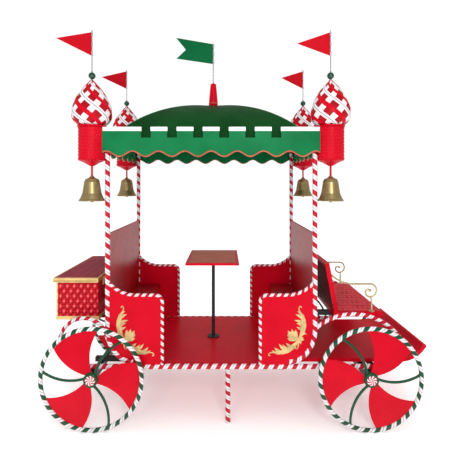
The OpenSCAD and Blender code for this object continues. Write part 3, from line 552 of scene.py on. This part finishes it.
seatPad = {"back": 0.048, "border": 0.012, "long": 0.042, "wide": 0.078, "rise": 0.0048, "bevel": 0.0065,
           "cell": 0.0038}
seatLow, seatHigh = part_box("driver_seat")
seatWide = seatHigh.y - seatLow.y
shape = Shape()
relief(shape, (seatLow.x + seatPad["back"], seatLow.y + seatPad["border"], seatHigh.z), (1, 0, 0), (0, 1, 0),
       seatHigh.x - seatLow.x - seatPad["back"] - seatPad["border"], seatWide - 2 * seatPad["border"],
       seatPad["cell"], bricks(seatPad["long"], seatPad["wide"], seatPad["rise"], seatPad["bevel"]))
# the seat's joints take a darker red as painted shade
finishPanel(shape, "driverSeatBricks", "seatRed", "paintedShadeRed", slot="gloss_red")

rest = {"lean": 10.84, "baseX": 1.024, "half": 0.018, "height": 0.404, "foot": 0.014, "border": 0.022,
        "w": 0.034, "h": 0.040, "rise": 0.0022, "cell": 0.0042}
lean = math.radians(rest["lean"])
upWay, outWay = np.array([-math.sin(lean), 0, math.cos(lean)]), np.array([math.cos(lean), 0, math.sin(lean)])
restBase = np.array([rest["baseX"] + cabinX, 0, seatHigh.z])
shape = Shape()
for face in (-1, 1):
    start = face * (rest["border"] - seatWide / 2)
    corner = restBase + face * outWay * rest["half"] + upWay * rest["foot"] + np.array([0, start, 0])
    high = rest["height"] - rest["foot"] - rest["border"]
    relief(shape, corner, (0, face, 0), upWay, seatWide - 2 * rest["border"], high, rest["cell"],
           quilting(rest["w"], rest["h"], rest["rise"]))
# the backrest's grooves take a near black as painted shade
finishPanel(shape, "backrestQuilting", "backRed", "paintedShadeDark")

bench = {"front": (0.593, 1), "rear": (-0.802, -1), "deep": 0.209, "half": 0.576, "pitch": 0.026, "rise": 0.0026,
         "cell": 0.0042}
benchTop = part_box("bench_seats")[1].z
shape = Shape()
for x, slant in (bench["rear"], bench["front"]):
    relief(shape, (cabinX + x, -bench["half"], benchTop), (1, 0, 0), (0, 1, 0), bench["deep"], 2 * bench["half"],
           bench["cell"], ribs(bench["pitch"], bench["rise"], slant))
# the benches' grooves between the ribs take a near black as painted shade
finishPanel(shape, "benchRibs", "deepRed", "paintedShadeDark")

inlay = {"border": 0.024, "long": 0.082, "wide": 0.0815, "rise": 0.0012, "bevel": 0.006, "cell": 0.006}
tableLow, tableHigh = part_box("table_top")
shape = Shape()
relief(shape, (tableLow.x + inlay["border"], tableLow.y + inlay["border"], tableHigh.z), (1, 0, 0), (0, 1, 0),
       tableHigh.x - tableLow.x - 2 * inlay["border"], tableHigh.y - tableLow.y - 2 * inlay["border"],
       inlay["cell"], bricks(inlay["long"], inlay["wide"], inlay["rise"], inlay["bevel"]))
# the inlay's joints take a darker brown as painted shade
finishPanel(shape, "tableInlay", "tableTop", "paintedShadeBrown")
print("stage 5: pressed panels laid")


# white caps on the merlons and the bead along the wavy edge
canopy = {"capLow": 2.350, "capTop": 2.3828, "proud": 0.0022, "outY": 0.640, "outX": 0.865, "thick": 0.020,
          "merlon": 0.128, "pitch": 0.205, "longRow": 2, "longEnds": (0.551, 0.851),
          "shortRow": 1, "shortEnds": (0.346, 0.548),
          "drop": 2.172, "wave": 0.021, "beadR": 0.0062, "beadIn": 0.0025,
          "longWaves": (8, 1.648, 300), "shortWaves": (6, 1.2, 200)}  # waves, over what length, steps of the bead


def capSpans(row, ends):
    # where the merlons stand along one side: the row about its middle, then the two long ones at its ends
    near, far = ends
    half = canopy["merlon"] / 2
    middle = [(i * canopy["pitch"] - half, i * canopy["pitch"] + half) for i in range(-row, row + 1)]
    return middle + [(-far, -near), (near, far)]


def acrossWall(out, side):
    # the two faces of the fascia at that distance from the middle, with the cap's edge over them
    return sorted((side * (out + canopy["proud"]), side * (out - canopy["thick"] - canopy["proud"])))


shape = Shape()
p = canopy["proud"]
for side in (-1, 1):
    y0, y1 = acrossWall(canopy["outY"], side)
    for a, b in capSpans(canopy["longRow"], canopy["longEnds"]):
        chamferBox(shape, (cabinX + a - p, y0, canopy["capLow"]), (cabinX + b + p, y1, canopy["capTop"]), p)
    x0, x1 = acrossWall(canopy["outX"], side)
    for a, b in capSpans(canopy["shortRow"], canopy["shortEnds"]):
        chamferBox(shape, (cabinX + x0, a - p, canopy["capLow"]), (cabinX + x1, b + p, canopy["capTop"]), p)
shape.finishPiece("merlonCaps", [finishes["capWhite"]], slot="ribbon_white")


def fasciaBead(shape, side, alongX, end, waves, span, steps):
    # a bead along the wavy lower edge, on a side of the coach or across one of its ends
    t = np.linspace(-end, end, steps)
    wave = canopy["drop"] + canopy["wave"] * np.cos(2 * math.pi * waves * t / span)
    off = np.full(steps, side * (canopy["outY" if alongX else "outX"] - canopy["beadIn"]))
    x, y = (t, off) if alongX else (off, t)
    across = (0, 1, 0) if alongX else (1, 0, 0)
    tube(shape, np.stack([x + cabinX, y, wave], -1), across, canopy["beadR"], columns=12)


shape = Shape()
for side in (-1, 1):
    fasciaBead(shape, side, True, canopy["longEnds"][1], *canopy["longWaves"])
    fasciaBead(shape, side, False, canopy["shortEnds"][1], *canopy["shortWaves"])
shape.finishPiece("fasciaBead", [finishes["copper"]], slot="gloss_red", smooth=60)

# thin seams along the roof's four hips, in a paler green than the roof that is partly a painted highlight along
# the hips
roof = {"halfX": 0.798, "halfY": 0.594, "rise": 0.356, "eaves": 2.300, "seamR": 0.0035}
crest = roof["eaves"] + roof["rise"]
z = crest - roof["rise"] * np.linspace(0.012, 1, 90) ** 1.4


def roofHalf(half):
    # half the roof's width at each height: its section is an arc of a circle
    r = (half ** 2 + roof["rise"] ** 2) / (2 * roof["rise"])
    return np.sqrt(np.clip(r * r - (z - crest + r) ** 2, 0, None))


shape = Shape()
for sx in (-1, 1):
    for sy in (-1, 1):
        hip = np.stack([cabinX + sx * roofHalf(roof["halfX"]), sy * roofHalf(roof["halfY"]), z], -1)
        tube(shape, hip, (sy * 0.6, -sx * 0.8, 0), roof["seamR"], columns=10)
shape.finishPiece("roofSeams", [finishes["seamGreenPaintedSheen"]], slot="dark_green", smooth=60)

finial = {
    "base": 2.6563, "poleR": 0.006,
    "body": [(0, 0), (0.026, 0), (0.035, 0.004), (0.0405, 0.012), (0.042, 0.020), (0.042, 0.026), (0.0405, 0.029),
             (0.0412, 0.034), (0.0405, 0.050), (0.037, 0.090), (0.0325, 0.140), (0.0275, 0.190), (0.0258, 0.204),
             (0.0235, 0.2095), (0.018, 0.212), (0.0, 0.212)],
    "ring": [(0.0425, 0.0235), (0.0435, 0.0255), (0.0435, 0.0285), (0.0425, 0.031), (0.039, 0.031),
             (0.039, 0.0235), (0.0425, 0.0235)],
}
top, r = cadHigh.z - finial["base"], finial["poleR"]
pole = [(0, 0.205), (0.0105, 0.205), (0.0105, 0.216), (0.008, 0.220), (r, 0.222), (r, top - 0.012),
        (0.0075, top - 0.010), (0.0085, top - 0.006), (0.0065, top - 0.001), (0.0, top)]
shape = Shape()
for profile, segments, tone in ((finial["body"], 48, 0), (finial["ring"], 48, 1), (pole, 24, 2)):
    lathe(shape, (cabinX, 0, finial["base"]), profile, segments, tone)
shape.finishPiece("roofFinial", [finishes[n] for n in ("glossRed", "copper", "steel")], slot="gloss_red",
                  replaces=("roof_finial",))
print("stage 6: canopy trimmed")


# four turrets, each with its dome, drum, bell, spire and flag
turret = {"x": 0.950, "y": 0.593, "drumR": 0.1035, "drumTop": 2.395, "drumLow": 2.120, "domeHigh": 0.369}
corners = [(cabinX + sx * turret["x"], sy * turret["y"]) for sx in (-1, 1) for sy in (-1, 1)]


def bezier(a, b, c, d, n):
    # points of a cubic curve whose four handles are given in millimetres
    t = np.linspace(0, 1, n)[:, None]
    a, b, c, d = (np.array(q, float) / 1000 for q in (a, b, c, d))
    return (1 - t) ** 3 * a + 3 * (1 - t) ** 2 * t * b + 3 * (1 - t) * t * t * c + t ** 3 * d


# the dome's side, neck to belly and belly to tip: four handles as (radius, height) in millimetres, and steps
onion = {"neck": ((99.5, 0), (138.6, 18), (157.5, 48), (157.5, 91), 60),
         "tip": ((157.5, 92), (157.5, 187), (94.5, 285), (10, 369), 120)}


def onionSide(n):
    # the dome's outer line, evenly spaced along its length, with its outward direction
    line = np.vstack([bezier(*onion["neck"]), bezier(*onion["tip"])])
    run = np.concatenate([[0], np.cumsum(np.linalg.norm(np.diff(line, axis=0), axis=1))])
    even = np.linspace(0, run[-1], n)
    line = np.stack([np.interp(even, run, line[:, 0]), np.interp(even, run, line[:, 1])], -1)
    along = unit(np.gradient(line, axis=0))
    return line, np.stack([along[:, 1], -along[:, 0]], -1)


# woven ribbons; a twist is the angle from the neck to the ball, tones is the finish of each column
ribbon = {"rows": 110, "bedDeep": 0.0062, "bedSegments": 56}
weave = (
    {"count": 6, "first": 0, "twist": 145, "width": 25, "deep": 0.006, "high": -0.0032, "tones": [1] * 6},
    {"count": 6, "first": 30, "twist": 145, "width": 31, "deep": 0.006, "high": -0.0040, "tones": [2] * 6},
    {"count": 4, "first": 10, "twist": -200, "width": 20, "deep": 0.004, "high": -0.0003,
     "tones": [1] * 4 + [3] + [1] * 4},
    {"count": 4, "first": 55, "twist": -200, "width": 21, "deep": 0.004, "high": -0.0010, "tones": [0] * 6},
)


def dome(shape, centre):
    line, out = onionSide(ribbon["rows"])
    t = np.linspace(0, 1, ribbon["rows"])

    def strip(start, twist, width, deep, high, tones):
        # one ribbon from the neck to the ball: a crowned band with turned down edges
        columns = len(tones) - 2
        c = np.concatenate([[-1.0], np.linspace(-1, 1, columns + 1), [1.0]])
        level = np.concatenate([[0.0], np.ones(columns + 1), [0.0]]) * (1 - 0.25 * np.abs(c) ** 4)
        deepness = -deep + (high + deep) * level
        r = line[:, :1] + out[:, :1] * deepness
        z = line[:, 1:] + out[:, 1:] * deepness
        angle = np.radians(start + twist * t[:, None] + width / 2 * c)
        points = np.stack([centre[0] + r * np.cos(angle), centre[1] + r * np.sin(angle),
                           turret["drumTop"] + z], -1)
        shape.add(points, gridFaces(len(t), len(c))[:, ::-1], np.tile(tones, len(t) - 1))

    # the red bed that shows between the ribbons
    bed = np.vstack([[0, 0], line - out * ribbon["bedDeep"], [0.0, turret["domeHigh"]]])
    lathe(shape, (*centre, turret["drumTop"]), bed, ribbon["bedSegments"], 0)
    for pair in (weave[:2], weave[2:]):
        for i in range(pair[0]["count"]):
            for w in pair:
                start = 360 / w["count"] * i + w["first"]
                strip(start, w["twist"], w["width"], w["deep"], w["high"], w["tones"])


shape = Shape()
for centre in corners:
    dome(shape, centre)
shape.finishPiece("turretDomes", [finishes[n] for n in ("glossRed", "stripeWhite", "deepRed", "stripeLine")],
                  slot="ribbon_white", replaces=("turret_domes",), recalc=False, smooth=40)

# pressed studs round the drums, in staggered rows; each is a square on its corner with a flat top
stud = {"rows": 10, "round": 24, "half": 0.0105, "rise": 0.0030, "sunk": 0.001, "top": 0.35,
        "firstZ": 0.016, "pitch": 0.0262, "facets": 64}
studWays = ((-1, 0), (0, -1), (1, 0), (0, 1))
drumFace = turret["drumR"] / math.cos(math.pi / stud["facets"])
spread = stud["half"] / turret["drumR"]
shape = Shape()
for cx, cy in corners:
    for row in range(stud["rows"]):
        z = turret["drumLow"] + stud["firstZ"] + row * stud["pitch"]
        for k in range(stud["round"]):
            around = 2 * math.pi * (k + 0.5 * (row % 2)) / stud["round"]
            points = []
            for share, r in ((1, drumFace - stud["sunk"]), (stud["top"], drumFace + stud["rise"])):
                for da, dz in studWays:
                    a = around + share * da * spread
                    points.append((cx + r * math.cos(a), cy + r * math.sin(a), z + share * dz * stud["half"]))
            shape.add(points, [(0, 1, 5, 4), (1, 2, 6, 5), (2, 3, 7, 6), (3, 0, 4, 7), (4, 5, 6, 7)])
shape.finishPiece("drumStuds", [finishes["reliefRed"]], slot="gloss_red", recalc=False, smooth=20)


def hoop(shape, centre, r, z, thick, sides):
    # a round ring about the upright through centre
    ring = [(r + thick * math.cos(a), z + thick * math.sin(a)) for a in np.linspace(0, 2 * math.pi, sides + 1)]
    lathe(shape, (*centre, 0), ring, 64)


drumRing = {"heights": (2.1235, 2.379), "thick": 0.0035}
shape = Shape()
for centre in corners:
    for z in drumRing["heights"]:
        hoop(shape, centre, turret["drumR"], z, drumRing["thick"], 9)
shape.finishPiece("drumRings", [finishes["glossRed"]], slot="gloss_red")

# beads round the bells, and the loops that they hang by
bell = {"z": 1.799, "beads": ((0.0905, 0.0215, 0.0022), (0.0602, 0.1505, 0.0020)),  # radius, height, thickness
        "loop": [(0.0085, 1.986), (0.014, 1.988), (0.0155, 1.993), (0.013, 1.998), (0.0085, 2.0)]}
shape = Shape()
for centre in corners:
    for r, z, thick in bell["beads"]:
        hoop(shape, centre, r, bell["z"] + z, thick, 8)
    lathe(shape, (*centre, 0), bell["loop"], 24)
shape.finishPiece("bellBeads", [finishes["brass"]], slot="satin_brass")

def ballSide(r, steps):
    # half outline of a ball, from its foot to its top
    return [(r * math.cos(q), r * math.sin(q)) for q in np.radians(np.linspace(-90, 90, steps))]


spire = {"ballZ": 2.7945, "ballR": 0.0275, "stalkR": 0.0085, "foot": 0.031, "poleR": 0.004, "poleTop": 3.157}
top, r = spire["poleTop"] - spire["ballZ"], spire["poleR"]
ball = [(0.0, -spire["foot"]), (spire["stalkR"], -spire["foot"])]
ball += ballSide(spire["ballR"], 25)[3:]
pole = [(0, 0.025), (0.0072, 0.025), (0.0072, 0.034), (0.0045, 0.038), (r, 0.040), (r, top - 0.008),
        (0.0062, top - 0.006), (0.0052, top - 0.001), (0, top)]
shape = Shape()
for centre in corners:
    lathe(shape, (*centre, spire["ballZ"]), ball, 40, 0)
    lathe(shape, (*centre, spire["ballZ"]), pole, 20, 1)
shape.finishPiece("turretSpires", [finishes["ballGreen"], finishes["steel"]], slot="green_ball",
                  replaces=("turret_spires",))

# sleeves that hold the flags to their poles
sleeve = {"small": (0.004, 0.0066, 16), "big": (0.006, 0.0088, 20),  # pole, sleeve, segments
          "smallSpans": ((2.955, 2.985), (3.035, 3.061), (3.111, 3.141)),
          "bigSpans": ((3.060, 3.095), (3.130, 3.165), (3.200, 3.235))}


def flagSleeve(shape, centre, size):
    inner, outer, segments = sleeve[size]
    for z0, z1 in sleeve[size + "Spans"]:
        lathe(shape, (*centre, 0), [(inner, z0), (outer, z0 + 0.001), (outer, z1 - 0.001), (inner, z1)], segments)


shape = Shape()
for centre in corners:
    flagSleeve(shape, centre, "small")
flagSleeve(shape, (cabinX, 0), "big")
shape.finishPiece("flagSleeves", [finishes["steel"]], slot="black_iron")
print("stage 7: turrets dressed")


# gold leaf sprays on the side panels, drawn upright, in metres from the centre of the ornament
spray = {
    "centre": (0.686, 0.703), "thick": 0.0075, "lobeThick": 0.85, "vein": 0.35, "sunk": 0.0004,
    "turns": ((0, False), (24, True)),  # degrees, and whether mirrored
    "stem": [(0, 0), (0.022, 0.022), (0.038, 0.060), (0.048, 0.110), (0.044, 0.155), (0.030, 0.195),
             (0.014, 0.222), (0.008, 0.240), (0.010, 0.256), (0.019, 0.266), (0.028, 0.262), (0.029, 0.254)],
    "stemHalf": [0.004, 0.011, 0.019, 0.021, 0.018, 0.011, 0.0055, 0.004, 0.0036, 0.0034, 0.0036, 0.0045],
    "lobes": [((0.040, 0.120), (0.012, 0.142), (-0.030, 0.152), 0.013),  # three points and a half width each
              ((0.036, 0.165), (0.012, 0.186), (-0.018, 0.198), 0.012),
              ((0.034, 0.075), (0.014, 0.086), (-0.010, 0.098), 0.011),
              ((0.040, 0.095), (0.020, 0.118), (-0.012, 0.128), 0.010),
              ((0.034, 0.040), (0.050, 0.046), (0.071, 0.041), 0.009),
              ((0.040, 0.165), (0.044, 0.184), (0.041, 0.200), 0.008),
              ((0.028, 0.195), (0.012, 0.214), (-0.004, 0.222), 0.007)],
    "curl": (0.0265, 0.2555), "curlRings": ((0.0064, 0.0), (0.0050, 0.0055), (0.0022, 0.0080)),  # radius, height
    "points": [((-0.078, 0.068), 0.021), ((-0.016, 0.076), 0.015), ((-0.083, 0.008), 0.015),
               ((-0.048, 0.082), 0.013), ((-0.086, 0.038), 0.013), ((0.050, -0.006), 0.013),
               ((0.024, -0.038), 0.012), ((0.046, 0.012), 0.009),
               ((-0.004, -0.078), 0.007)],  # tips and half widths of the plain leaves round the centre
}


def leaf(shape, spine, widths, toPanel, out, thick, rows):
    # a blade of leaf with a raised back and a vein, along a smooth line through the given points
    spine, widths = np.array(spine, float), np.array(widths, float)
    run = np.concatenate([[0], np.cumsum(np.linalg.norm(np.diff(spine, axis=0), axis=1))])
    s = np.linspace(0, run[-1], rows)
    line = np.stack([np.interp(s, run, spine[:, k]) for k in (0, 1)], -1)
    for _ in range(2):
        line[1:-1] = (line[:-2] + 2 * line[1:-1] + line[2:]) / 4
    wide = np.interp(s, run, widths)[:, None]
    along = unit(np.gradient(line, axis=0))
    across = np.stack([-along[:, 1], along[:, 0]], -1)
    c = np.array([-1, -0.92, -0.5, -0.12, 0, 0.12, 0.5, 0.92, 1])
    h = np.array([0, 0.45, 0.95, 1.0, 1 - spray["vein"], 1.0, 0.95, 0.45, 0]) * thick
    flat = line[:, None] + across[:, None] * (wide * c)[..., None]
    height = h[None] * np.clip(wide / 0.009, 0.45, 1)
    points = toPanel(flat.reshape(-1, 2), height.reshape(-1))
    shape.add(points, gridFaces(rows, 9), 0, outward=out)


def turnPoints(points, degrees, mirror):
    # the second spray is the first one mirrored across its slope, then turned
    points = np.array(points, float)
    if mirror:
        points = -points[:, ::-1]
    a = math.radians(degrees)
    return points @ np.array([[math.cos(a), math.sin(a)], [-math.sin(a), math.cos(a)]])


def goldSpray(shape, sx, sy):
    # the whole ornament of one panel
    thick, out = spray["thick"], (0, sy, 0)

    def toPanel(flat, height):
        x = cabinX + sx * (spray["centre"][0] + flat[:, 0])
        y = sy * (body["sheetY"] - spray["sunk"] + height)
        return np.stack([x, y, spray["centre"][1] + flat[:, 1]], -1)

    for turn in spray["turns"]:
        leaf(shape, turnPoints(spray["stem"], *turn), spray["stemHalf"], toPanel, out, thick, 44)
        for *spine, half in spray["lobes"]:
            leaf(shape, turnPoints(spine, *turn), [half * 0.8, half, 0.0006], toPanel, out,
                 thick * spray["lobeThick"], 12)
        curl = turnPoints([spray["curl"]], *turn)[0]
        ring = np.linspace(0, 2 * math.pi, 14, endpoint=False)
        circle = np.stack([np.cos(ring), np.sin(ring)], -1)
        button = np.concatenate([curl + r * circle for r, _ in spray["curlRings"]])
        height = np.repeat([h for _, h in spray["curlRings"]], 14)
        faces = list(gridFaces(3, 14, False, True)) + [list(range(28, 42))[::-1]]
        shape.add(toPanel(button, height), faces, 0, outward=out)
    for tip, half in spray["points"]:
        tip = np.array(tip)
        bow = np.array([-tip[1], tip[0]]) * 0.08
        leaf(shape, [(0, 0), tip * 0.35 + bow, tip * 0.7 + bow, tip], [0.003, half * 0.8, half, 0.0008],
             toPanel, out, thick, 16)


shape = Shape()
for sx in (1, -1):
    for sy in (-1, 1):
        goldSpray(shape, sx, sy)
shape.finishPiece("goldSprays", [finishes["paleGold"]], slot="pale_gold", recalc=False, smooth=45)

# balls in the scrolls of the arm rails, and roses at the feet of their posts
knob = {"y": 0.470, "ball": (1.3079, 1.0546), "ballR": 0.0112, "foot": (1.318, 0.883),
        "rose": [(0.024, 0), (0.024, 0.003), (0.019, 0.0055), (0.0115, 0.007), (0.0105, 0.013), (0.0075, 0.016)]}
ball = ballSide(knob["ballR"], 13)
shape = Shape()
for side in (-1, 1):
    for (x, z), profile, segments in ((knob["ball"], ball, 24), (knob["foot"], knob["rose"], 32)):
        lathe(shape, (x + cabinX, side * knob["y"], z), profile, segments)
shape.finishPiece("railKnobs", [finishes["railBrass"]], slot="satin_brass")
print("stage 8: gold work fixed")


studio = {"floorSize": 60, "floorTone": 0.98, "floorGlow": 0.22,
          "skyTone": 1.0, "skyStrength": 1.04, "skyInGloss": 0.4,
          "lamps": {"keyBox": (90, 1.1, (0.7, -5.6, 3.6), (0, 0, 1.2)),  # power, size, place, what it points at
                    "fillBox": (30, 0.8, (-1.6, -5.2, 2.2), (-0.2, 0, 1.2))}}
bpy.ops.mesh.primitive_plane_add(size=studio["floorSize"], location=(0, 0, 0))
floor = bpy.context.object
floor.name = "studioFloor"
floorWhite = paint("floorWhite", (studio["floorTone"],) * 3, rough=0.7, specular=0.1, mottle=0.015, cloudSize=1.5,
                   grain=60, bump=0.01)
floorShader = floorWhite.node_tree.nodes["Principled BSDF"]
floorShader.inputs["Emission Color"].default_value = (1, 1, 1, 1)
floorShader.inputs["Emission Strength"].default_value = studio["floorGlow"]  # keeps the coach's shadow light
floor.data.materials.append(floorWhite)
floor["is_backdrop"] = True

world = bpy.data.worlds.new("studioSky")
bpy.context.scene.world = world
world.use_nodes = True
sky = world.node_tree.nodes["Background"]
sky.inputs["Color"].default_value = (studio["skyTone"],) * 3 + (1,)
# the white sky is dimmer in reflections, as black flags make it in a studio
rays = world.node_tree.nodes.new("ShaderNodeLightPath")
dim = world.node_tree.nodes.new("ShaderNodeMapRange")
dim.inputs["To Min"].default_value = studio["skyStrength"]
dim.inputs["To Max"].default_value = studio["skyInGloss"]
world.node_tree.links.new(rays.outputs["Is Glossy Ray"], dim.inputs["Value"])
world.node_tree.links.new(dim.outputs["Result"], sky.inputs["Strength"])


def softBox(name, power, size, place, aim):
    lamp = bpy.data.lights.new(name, "AREA")
    lamp.energy, lamp.size = power, size
    lampObject = bpy.data.objects.new(name, lamp)
    lampObject.location = place
    lampObject.rotation_euler = (Vector(aim) - Vector(place)).to_track_quat("-Z", "Y").to_euler()
    bpy.context.scene.collection.objects.link(lampObject)


for name, lamp in studio["lamps"].items():
    softBox(name, *lamp)

view = {"eye": (-0.099, -3.945, 1.949), "lens": 32.94, "shiftX": 0.0109, "shiftY": -0.1043}
cameraData = bpy.data.cameras.new("coachCamera")
cameraData.lens, cameraData.sensor_width = view["lens"], 36
cameraData.shift_x, cameraData.shift_y = view["shiftX"], view["shiftY"]
camera = bpy.data.objects.new("coachCamera", cameraData)
camera.location = view["eye"]
camera.rotation_euler = (math.pi / 2, 0, 0)
bpy.context.scene.collection.objects.link(camera)
bpy.context.scene.camera = camera
bpy.context.scene.view_settings.view_transform = "Standard"

low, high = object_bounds()
